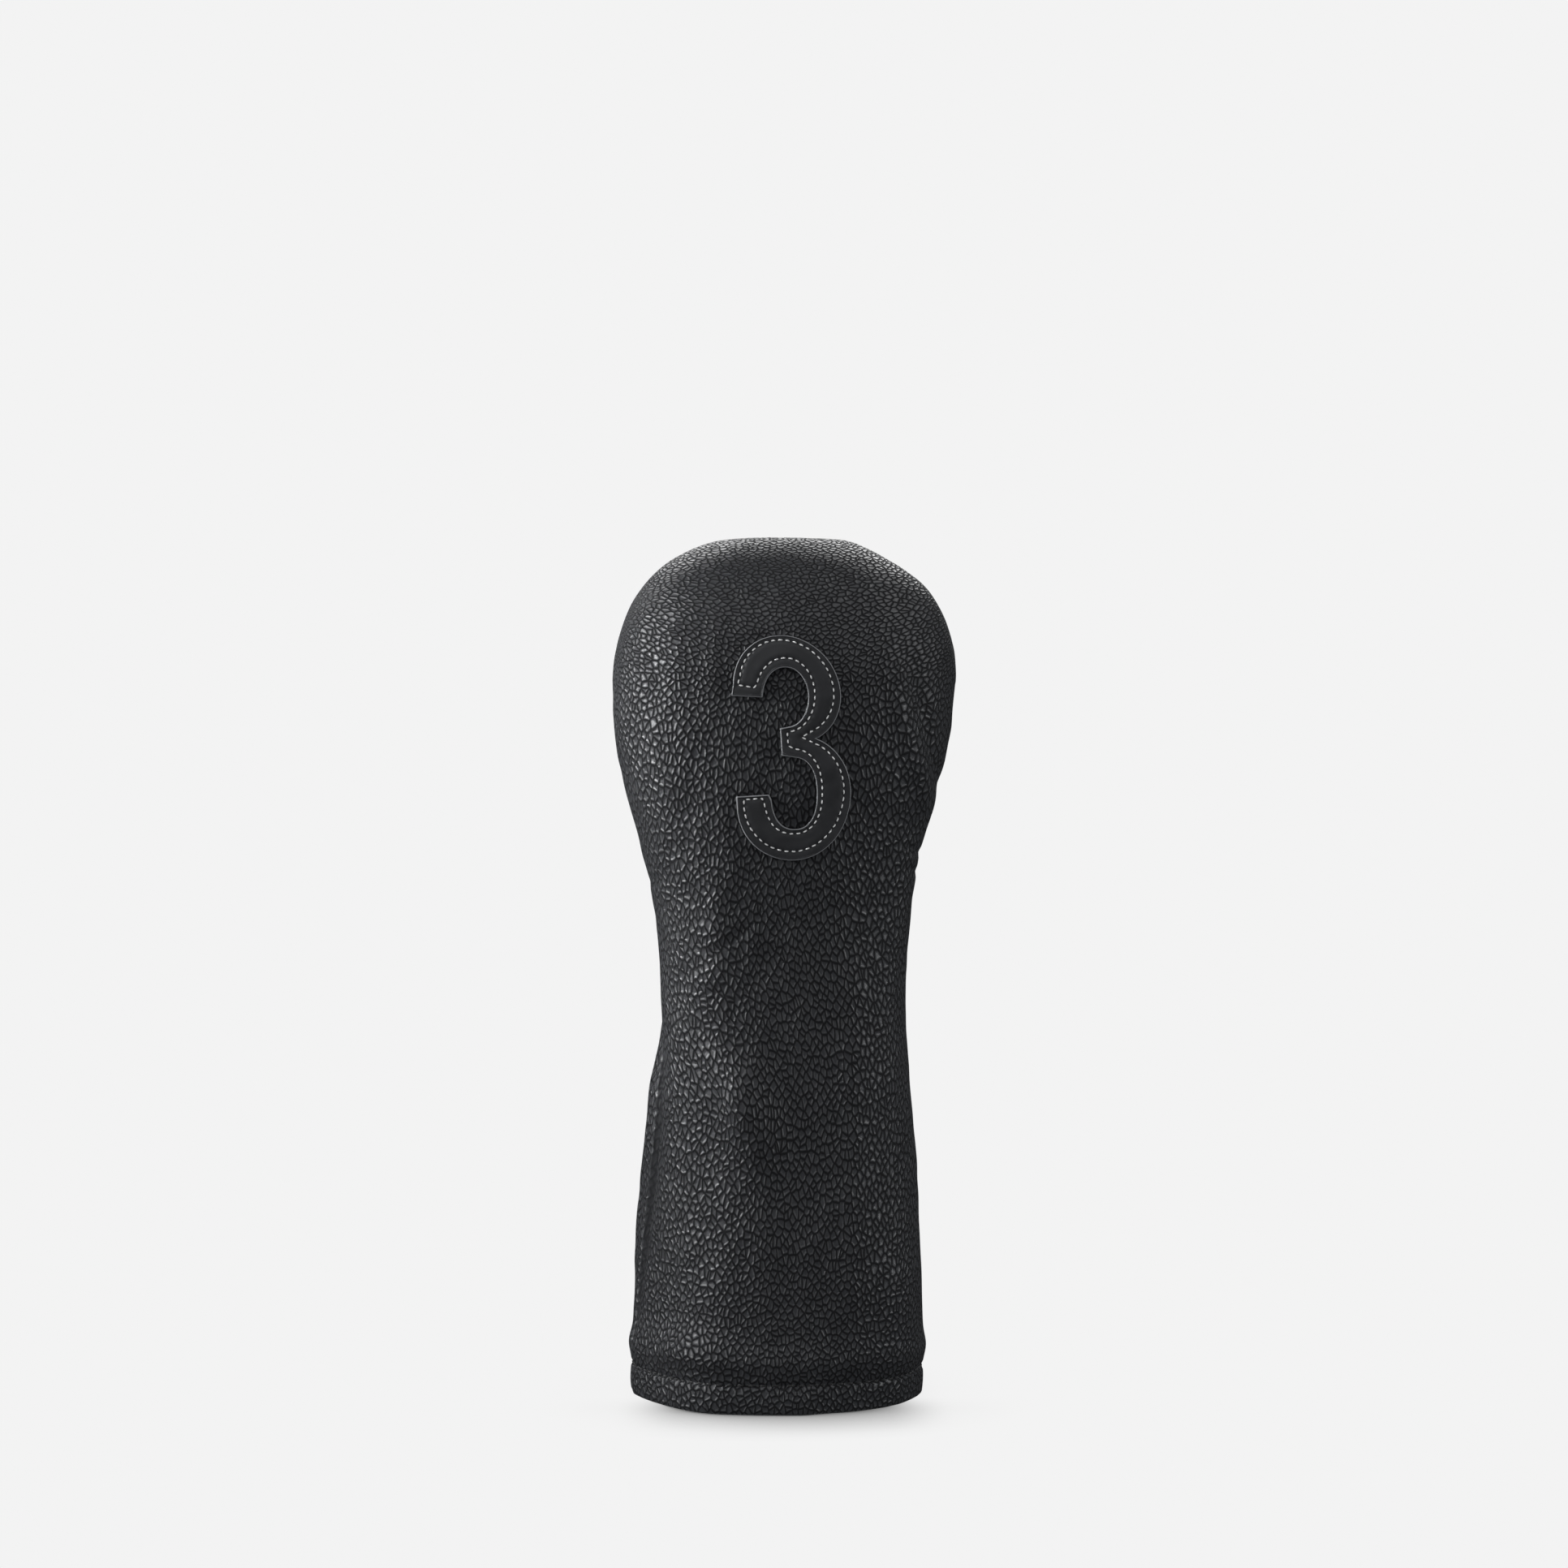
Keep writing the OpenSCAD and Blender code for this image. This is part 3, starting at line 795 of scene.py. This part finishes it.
def hem_row():
    """Stitches round the hem, laid in the valley of the leather's real surface."""
    runs = []
    r = np.random.RandomState(9)
    for i in range(HEM_STITCHES):
        mid = 2 * math.pi * (i + 0.5) / HEM_STITCHES
        reach = math.pi / HEM_STITCHES * 0.74
        u = mid + np.linspace(-reach, reach, 5)
        zz = np.full(5, HEM_STITCH) + np.linspace(-1, 1, 5) * r.uniform(-0.12, 0.12)
        runs.append(drop_on(skin(u, zz)))
    return runs


hem_thread = stitch_tubes("hem_stitches", hem_row(), 0.7, 0.62)


def elastic_rows():
    """The two rows across the back that hold the elastic's tape."""
    runs = []
    count, turn = 34, 140
    for z in ELASTIC_ROW_Z:
        for i in range(count):
            mid = math.radians(270 - turn / 2 + turn * (i + 0.5) / count)
            u = mid + np.linspace(-1, 1, 5) * math.radians(turn / count) * 0.36
            runs.append(drop_on(skin(u, np.full(5, z))))
    return runs


elastic_thread = stitch_tubes("elastic_stitches", elastic_rows(), 0.7, 0.62)


def seam_rows(depth, z0, z1, count):
    """Lockstitches inside a seam, from the hem up over the crown."""
    runs = []
    for left in (False, True):
        for i in range(count):
            z = z0 + (z1 - z0) * (i + 0.5) / count
            zs = z + np.linspace(-1, 1, 5) * (z1 - z0) / count * 0.32
            a = seam_angle(zs, left)
            u = np.pi - a if left else a
            p = skin(u, zs)
            out = np.stack([p[:, 0], p[:, 1], np.zeros(5)], -1)
            out /= np.linalg.norm(out, axis=1)[:, None]
            runs.append((p - out * depth, -out))
    return runs


panel_rows = seam_rows(3.6, 22, 262, 60)
panel_thread = stitch_tubes("panel_seam_stitches", panel_rows, 0.6, 0.6, 6, 6)
inside_rows = seam_rows(LINING_OFF + LINING + 0.25, 26, 255, 60)
lining_thread = stitch_tubes("lining_seam_stitches", inside_rows, 0.7, 0.6, 6, 6)


# ---------------------------------------------------------------- layers inside

fleece_noise = Waves(21, 5.0)
fleece_broad = Waves(22, 16.0)


def flat_depth(depth):
    """A layer's face that lies at one depth under the skin."""
    return lambda z: np.full_like(z, depth)


def lining_face(z):
    """The lining lies on the turned-up hem, and on the padding above it."""
    low = 2 * LEATHER + GAP
    return low + (LINING_OFF + 1.0 - low) * smooth((z - HEM_FOLD - 0.5) / 6)


def lining_inside(z):
    return lining_face(z) + LINING


def fleece_ripple(p):
    return 0.32 * fleece_noise(p) + 0.4 * fleece_broad(p)


def lining(name, back):
    rows = [spread(3.0, [(HEM_FOLD + 8, 1.0), (WIDEST, 1.9)]), crown_rows(44)]
    return shell(name, np.concatenate(rows), 90, back, lining_face, lining_inside, 0.002,
                 ripple=fleece_ripple)


def padding(name, back, lowest):
    """Foam between leather and lining, short of the seams."""
    rows = [spread(lowest, [(WIDEST, 4.0)]), crown_rows(18)[:-1]]
    face, inside_face = flat_depth(PADDING_OFF + 0.9), flat_depth(LINING_OFF + 0.7)
    return shell(name, np.concatenate(rows), 40, back, face, inside_face, math.radians(6))


def neck_band(name, rows, depth_out, depth_in):
    """A band across the back of the neck."""
    turn = (math.radians(202), math.radians(338))
    return shell(name, rows, 120, True, flat_depth(depth_out), flat_depth(depth_in), u_range=turn)


front_lining = lining("lining_front", False)
back_lining = lining("lining_back", True)
front_foam = padding("padding_front", False, 24.0)
back_foam = padding("padding_back", True, 172.0)
elastic = neck_band("neck_elastic_band", spread(131.5, [(156.5, 2.0)]), 2.9, 4.1)
casing = neck_band("casing_tape", spread(127.5, [(160.5, 3.0)]), 4.3, 4.9)


# ---------------------------------------------------------------- materials

class Shader:
    """A short way to write a material's nodes."""

    def __init__(self, name):
        self.material = bpy.data.materials.new(name)
        self.material.use_nodes = True
        self.tree = self.material.node_tree
        self.main = self.tree.nodes["Principled BSDF"]

    def node(self, kind, inputs=None, **options):
        n = self.tree.nodes.new("ShaderNode" + kind)
        for key, value in options.items():
            setattr(n, key, value)
        for key, value in (inputs or {}).items():
            self.set(n, key, value)
        return n

    def set(self, n, key, value):
        if isinstance(value, bpy.types.NodeSocket):
            self.tree.links.new(value, n.inputs[key])
        else:
            n.inputs[key].default_value = value

    def math(self, operation, a, b=0.0, clamp=False):
        n = self.node("Math", operation=operation, use_clamp=clamp)
        self.set(n, 0, a)
        self.set(n, 1, b)
        return n.outputs[0]

    def mix(self, factor, a, b):
        n = self.node("Mix", data_type="RGBA")
        self.set(n, 0, factor)
        self.set(n, 6, a)
        self.set(n, 7, b)
        return n.outputs[2]

    def span(self, value, low, high, to_low=0.0, to_high=1.0, smooth=False):
        n = self.node("MapRange", {0: value, 1: low, 2: high, 3: to_low, 4: to_high}, clamp=True)
        n.interpolation_type = "SMOOTHSTEP" if smooth else "LINEAR"
        return n.outputs[0]

    def read(self, name, vector=False):
        n = self.node("Attribute", attribute_name=name)
        return n.outputs["Vector"] if vector else n.outputs["Fac"]

    def bump(self, height, distance):
        return self.node("Bump", {"Height": height, "Distance": distance}).outputs[0]

    def noise(self, vector, scale, detail=2.0, rough=0.5):
        inputs = {"Vector": vector, "Scale": scale, "Detail": detail, "Roughness": rough}
        return self.node("TexNoise", inputs).outputs["Fac"]

    def voronoi(self, vector, scale, feature="DISTANCE_TO_EDGE", randomness=1.0, flat=True):
        space = "2D" if flat else "3D"
        n = self.node("TexVoronoi", feature=feature, voronoi_dimensions=space)
        self.set(n, "Vector", vector)
        self.set(n, "Scale", scale)
        self.set(n, "Randomness", randomness)
        return n.outputs["Distance"]


def pebbled_leather(name):
    """Drum-dyed black leather: domed pebbles with painted shade darkening the creases between
    them, worn smooth on the edges.
    """
    s = Shader(name)
    at = s.read("grain", True)
    wander = s.node("TexNoise", {"Vector": at, "Scale": 0.6, "Detail": 1.0})
    half = (0.5, 0.5, 0.5)
    shift = s.node("VectorMath", {0: wander.outputs["Color"], 1: half}, operation="SUBTRACT")
    push = s.node("VectorMath", {0: shift.outputs[0], 3: 0.4}, operation="SCALE")
    spot = s.node("VectorMath", {0: at, 1: push.outputs[0]}, operation="ADD").outputs[0]
    edge = s.voronoi(spot, 1.0, randomness=0.88)
    fine = s.voronoi(spot, 2.3)
    group = s.voronoi(spot, 0.4)
    height = s.span(edge, 0.0, 0.40, smooth=True)
    for layer, share in (
        (s.span(fine, 0.0, 0.2, smooth=True), 0.04),
        (s.span(group, 0.0, 0.1, smooth=True), 0.06),
        (s.noise(at, 8.0, 3.0, 0.6), 0.03),
    ):
        height = s.math("ADD", height, s.math("MULTIPLY", layer, share))
    pale_edge = s.read("pale_edges")
    height = s.math("MULTIPLY", height, s.span(pale_edge, 0.2, 1.0, 1.0, 0.5))
    height = s.math("MULTIPLY", height, s.span(s.read("crown"), 0.0, 1.0, 1.0, 0.72))
    s.set(s.main, "Normal", s.bump(height, 0.00028))
    valley = s.span(edge, 0.05, 0.26, 1.0, 0.0, smooth=True)
    patchy = s.span(s.noise(at, 0.1, 2.0), 0.35, 0.65)
    base = s.mix(patchy, (0.0150, 0.0158, 0.0185, 1), (0.0195, 0.0205, 0.0230, 1))
    # Painted shade: the creases' colour goes almost black, for the shade that falls deep in them
    base = s.mix(s.math("MULTIPLY", valley, 0.85), base, (0.001, 0.001, 0.0015, 1))
    base = s.mix(s.span(pale_edge, 0.45, 1.0, 0.0, 0.5), base, (0.05, 0.051, 0.054, 1))
    base = s.mix(s.read("flesh"), base, (0.075, 0.068, 0.06, 1))
    s.set(s.main, "Base Color", base)
    rough = s.span(s.noise(at, 0.7, 3.0), 0.3, 0.7, 0.39, 0.47)
    rough = s.math("ADD", rough, s.math("MULTIPLY", valley, 0.45), clamp=True)
    s.set(s.main, "Roughness", rough)
    s.set(s.main, "Specular IOR Level", 0.6)
    # Painted shade: the specular tint goes dark deep in the creases, so no highlights come from
    # there
    shaded = s.math("MULTIPLY", valley, 0.68)
    s.set(s.main, "Specular Tint", s.mix(shaded, (1, 1, 1, 1), (0.03, 0.03, 0.03, 1)))
    return s.material


def smooth_leather():
    """The number's leather: matte with fine pores, and an edge painted paler, partly burnished and
    partly a painted highlight.
    """
    s = Shader("SmoothLeather")
    at = s.node("TexCoord").outputs["Object"]
    pores = s.noise(at, 2600.0, 3.0, 0.6)
    haze = s.noise(at, 160.0, 3.0)
    s.set(s.main, "Normal", s.bump(s.math("ADD", pores, s.math("MULTIPLY", haze, 0.6)), 0.00005))
    pale_edge = s.read("pale_edges")
    base = s.mix(s.span(haze, 0.35, 0.65), (0.0115, 0.012, 0.0135, 1), (0.0155, 0.016, 0.018, 1))
    # Paler round the patch's upper edge: partly burnished, partly a painted highlight
    base = s.mix(s.span(pale_edge, 0.0, 1.0, 0.0, 0.95), base, (0.16, 0.163, 0.17, 1))
    s.set(s.main, "Base Color", base)
    s.set(s.main, "Roughness", s.span(haze, 0.3, 0.7, 0.55, 0.66))
    s.set(s.main, "Specular IOR Level", 0.35)
    return s.material


def thread(name, light, dark, sheen):
    """Bonded twisted thread. The two plies show as slanting ridges along each stitch."""
    s = Shader(name)
    ply = s.node("SeparateXYZ", {0: s.read("ply", True)})
    along_it, round_it = ply.outputs[0], ply.outputs[1]
    turn = s.math("ADD", s.math("MULTIPLY", along_it, 3.0), s.math("MULTIPLY", round_it, 2.0))
    ridge = s.math("ABSOLUTE", s.math("SINE", s.math("MULTIPLY", turn, math.pi)))
    fuzz = s.noise(s.node("TexCoord").outputs["Object"], 5200.0, 2.0)
    # Painted highlight and shade: the plies' crests are coloured lighter and the grooves between
    # them darker
    lit = s.math("MULTIPLY", ridge, s.span(fuzz, 0.2, 0.8, 0.7, 1.0))
    s.set(s.main, "Base Color", s.mix(lit, dark, light))
    s.set(s.main, "Normal", s.bump(s.math("ADD", ridge, s.math("MULTIPLY", fuzz, 0.4)), 0.00008))
    s.set(s.main, "Roughness", s.span(fuzz, 0.2, 0.8, 0.5, 0.7))
    s.set(s.main, "Sheen Weight", sheen)
    return s.material


def fleece():
    """Short black nap in curls and tufts."""
    s = Shader("Fleece")
    at = s.node("TexCoord").outputs["Object"]
    tuft = s.noise(at, 900.0, 5.0, 0.7)
    curl = s.voronoi(at, 620.0, "F1", flat=False)
    height = s.math("ADD", s.math("MULTIPLY", tuft, 0.8), s.math("MULTIPLY", curl, 0.6))
    s.set(s.main, "Normal", s.bump(height, 0.0006))
    tips = s.span(tuft, 0.35, 0.65)
    s.set(s.main, "Base Color", s.mix(tips, (0.012, 0.012, 0.013, 1), (0.045, 0.045, 0.048, 1)))
    s.set(s.main, "Roughness", s.span(curl, 0.0, 0.6, 0.8, 1.0))
    s.set(s.main, "Sheen Weight", 0.6)
    s.set(s.main, "Sheen Roughness", 0.5)
    return s.material


def foam():
    """Open cells, yellowed unevenly."""
    s = Shader("Foam")
    at = s.node("TexCoord").outputs["Object"]
    cell = s.voronoi(at, 1500.0, "F1", flat=False)
    tint = s.span(s.noise(at, 40.0, 3.0), 0.3, 0.7)
    s.set(s.main, "Normal", s.bump(cell, 0.0003))
    s.set(s.main, "Base Color", s.mix(tint, (0.55, 0.51, 0.42, 1), (0.68, 0.65, 0.57, 1)))
    s.set(s.main, "Roughness", s.span(cell, 0.0, 0.7, 0.85, 1.0))
    return s.material


def ribbed(name, dark, light, scale):
    """Woven tape or elastic: ribs along it, crossed by a fine weft."""
    s = Shader(name)
    at = s.node("TexCoord").outputs["Object"]
    parts = s.node("SeparateXYZ", {0: at})
    rib = s.math("SINE", s.math("MULTIPLY", parts.outputs[2], scale))
    across = s.math("ADD", parts.outputs[0], parts.outputs[1])
    weft = s.math("SINE", s.math("MULTIPLY", across, scale * 1.7))
    weave = s.math("ADD", s.math("MULTIPLY", rib, 0.6), s.math("MULTIPLY", weft, 0.4))
    s.set(s.main, "Normal", s.bump(weave, 0.0002))
    s.set(s.main, "Base Color", s.mix(s.span(weave, -0.8, 0.8), dark, light))
    s.set(s.main, "Roughness", s.span(s.noise(at, 700.0), 0.3, 0.7, 0.6, 0.85))
    return s.material


grained = pebbled_leather("PebbledLeather")
grey = thread("GreyThread", (0.58, 0.58, 0.57, 1), (0.22, 0.22, 0.22, 1), 0.2)
black = thread("BlackThread", (0.012, 0.012, 0.013, 1), (0.004, 0.004, 0.004, 1), 0.1)
fleece_cloth = fleece()
foam_sheet = foam()
number_leather = smooth_leather()
elastic_weave = ribbed("ElasticWeave", (0.62, 0.61, 0.57, 1), (0.82, 0.81, 0.77, 1), 5200.0)
tape_weave = ribbed("TapeWeave", (0.008, 0.008, 0.008, 1), (0.03, 0.03, 0.031, 1), 6500.0)


# ---------------------------------------------------------------- what each piece is

PIECES = [
    (front_leather, grained, "grained_leather", ["front_panel"]),
    (back_leather, grained, "grained_leather_back", ["back_panel"]),
    (front_lining, fleece_cloth, "fleece", ["front_lining"]),
    (back_lining, fleece_cloth, "fleece", ["back_lining"]),
    (front_foam, foam_sheet, "foam", ["front_padding"]),
    (back_foam, foam_sheet, "foam", ["back_padding"]),
    (elastic, elastic_weave, "elastic", ["neck_elastic"]),
    (casing, tape_weave, "casing", ["elastic_casing"]),
    (patch, number_leather, "smooth_leather", ["number_patch"]),
    (number_thread, grey, "grey_thread", ["number_thread"]),
    (hem_thread, black, "black_thread", ["hem_thread"]),
    (panel_thread, black, "black_thread", ["panel_seam_thread"]),
    (lining_thread, black, "black_thread", ["lining_seam_thread"]),
    (elastic_thread, black, "black_thread", ["elastic_thread"]),
]
for piece, material, slot, nodes in PIECES:
    piece.data.materials.append(material)
    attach(piece, BODY)
    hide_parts(*nodes)


# ---------------------------------------------------------------- floor, light and camera

scene = bpy.context.scene
scene.view_settings.view_transform = "Standard"
PALE = 0.896


def stage_floor():
    """A plain pale floor that glows evenly, with a painted soft shadow close under the cover's
    front.
    """
    half = 6.0
    corners = [(-half, -half, 0), (half, -half, 0), (half, half, 0), (-half, half, 0)]
    me = bpy.data.meshes.new("floor")
    me.from_pydata(corners, [], [(0, 1, 2, 3)])
    ob = bpy.data.objects.new("floor", me)
    scene.collection.objects.link(ob)
    s = Shader("PaleFloor")
    occlusion = s.node("AmbientOcclusion", {"Distance": 0.045}, samples=16)
    where = s.node("SeparateXYZ", {0: s.node("TexCoord").outputs["Object"]})
    before = s.span(where.outputs[1], -0.036, -0.004, 1.0, 0.12, smooth=True)
    sideways = s.math("ABSOLUTE", where.outputs[0])
    between = s.span(sideways, 0.036, 0.060, 1.0, 0.15, smooth=True)
    before = s.math("MULTIPLY", before, between)
    # Painted shadow: the glow is dimmed by occlusion, mostly in front of the cover
    dim = s.math("MULTIPLY", s.span(occlusion.outputs["AO"], 0.40, 0.97, 0.80, 0.0), before)
    shade = s.math("SUBTRACT", 1.0, dim)
    glow = s.node("Emission", {"Color": (PALE, PALE, PALE, 1), "Strength": shade})
    out = s.tree.nodes["Material Output"]
    s.tree.links.new(glow.outputs[0], out.inputs["Surface"])
    ob.data.materials.append(s.material)
    ob.visible_glossy = False
    ob.visible_diffuse = False


stage_floor()


def studio_world():
    """Pale behind the cover and as soft fill light, dark where the leather mirrors it."""
    world = bpy.data.worlds.new("Studio")
    scene.world = world
    world.use_nodes = True
    tree = world.node_tree
    tree.nodes.clear()
    out = tree.nodes.new("ShaderNodeOutputWorld")
    path = tree.nodes.new("ShaderNodeLightPath")
    shader = None
    for ray, colour, strength in (
        (None, (0.93, 0.96, 1.0, 1), 0.045),
        ("Is Diffuse Ray", (0.95, 0.97, 1.0, 1), 0.74),
        ("Is Camera Ray", (PALE, PALE, PALE, 1), 1.0),
    ):
        sky = tree.nodes.new("ShaderNodeBackground")
        sky.inputs[0].default_value = colour
        sky.inputs[1].default_value = strength
        if ray is None:
            shader = sky
            continue
        mix = tree.nodes.new("ShaderNodeMixShader")
        tree.links.new(path.outputs[ray], mix.inputs[0])
        tree.links.new(shader.outputs[0], mix.inputs[1])
        tree.links.new(sky.outputs[0], mix.inputs[2])
        shader = mix
    tree.links.new(shader.outputs[0], out.inputs[0])


studio_world()

COOL, WHITE = (0.98, 0.99, 1.0), (1, 1, 1)
# Name, place, aim, size, watts, tint, spread in degrees
SOFTBOXES = [
    ("key_high_left", (-0.79, -0.14, 0.72), (0, 0, 0.16), (0.28, 0.40), 3.7, COOL, 180),
    ("key_left", (-0.79, -0.04, 0.38), (0, 0, 0.27), (0.18, 0.30), 0.64, COOL, 46),
    ("front_left", (-0.60, -0.70, 0.45), (0, 0, 0.18), (0.5, 0.5), 1.2, COOL, 180),
    ("fill_right", (0.75, -0.16, 0.34), (0, 0, 0.20), (0.20, 0.34), 0.20, COOL, 70),
    ("low_left", (-0.82, -0.22, 0.16), (0, -0.02, 0.0), (0.30, 0.20), 0.07, COOL, 30),
    ("low_right", (0.82, -0.20, 0.16), (0, -0.02, 0.0), (0.30, 0.20), 0.05, COOL, 34),
    ("high_right", (0.6, 0.0, 1.0), (0, 0, 0.24), (0.5, 0.5), 2.4, WHITE, 180),
    ("top_back", (0.0, 0.72, 0.84), (0, 0, 0.28), (0.8, 0.3), 6.2, WHITE, 180),
    ("front_high", (-0.05, -0.80, 1.1), (0, 0, 0.20), (0.9, 0.45), 2.8, WHITE, 180),
]
for name, place, aim, size, watts, tint, spread_degrees in SOFTBOXES:
    data = bpy.data.lights.new(name, "AREA")
    data.shape = "RECTANGLE"
    data.size, data.size_y = size
    data.energy = watts
    data.color = tint
    data.spread = math.radians(spread_degrees)
    light = bpy.data.objects.new(name, data)
    scene.collection.objects.link(light)
    light.location = place
    light.rotation_euler = (Vector(aim) - Vector(place)).to_track_quat("-Z", "Y").to_euler()

# Level with the head and looking straight along y
CAMERA_AT = (0, -1.15, 0.2174)
lens = bpy.data.cameras.new("camera")
lens.sensor_width = 36.0
lens.lens = 74.0
camera = bpy.data.objects.new("camera", lens)
scene.collection.objects.link(camera)
camera.location = CAMERA_AT
camera.rotation_euler = (math.radians(90), 0, 0)
scene.camera = camera
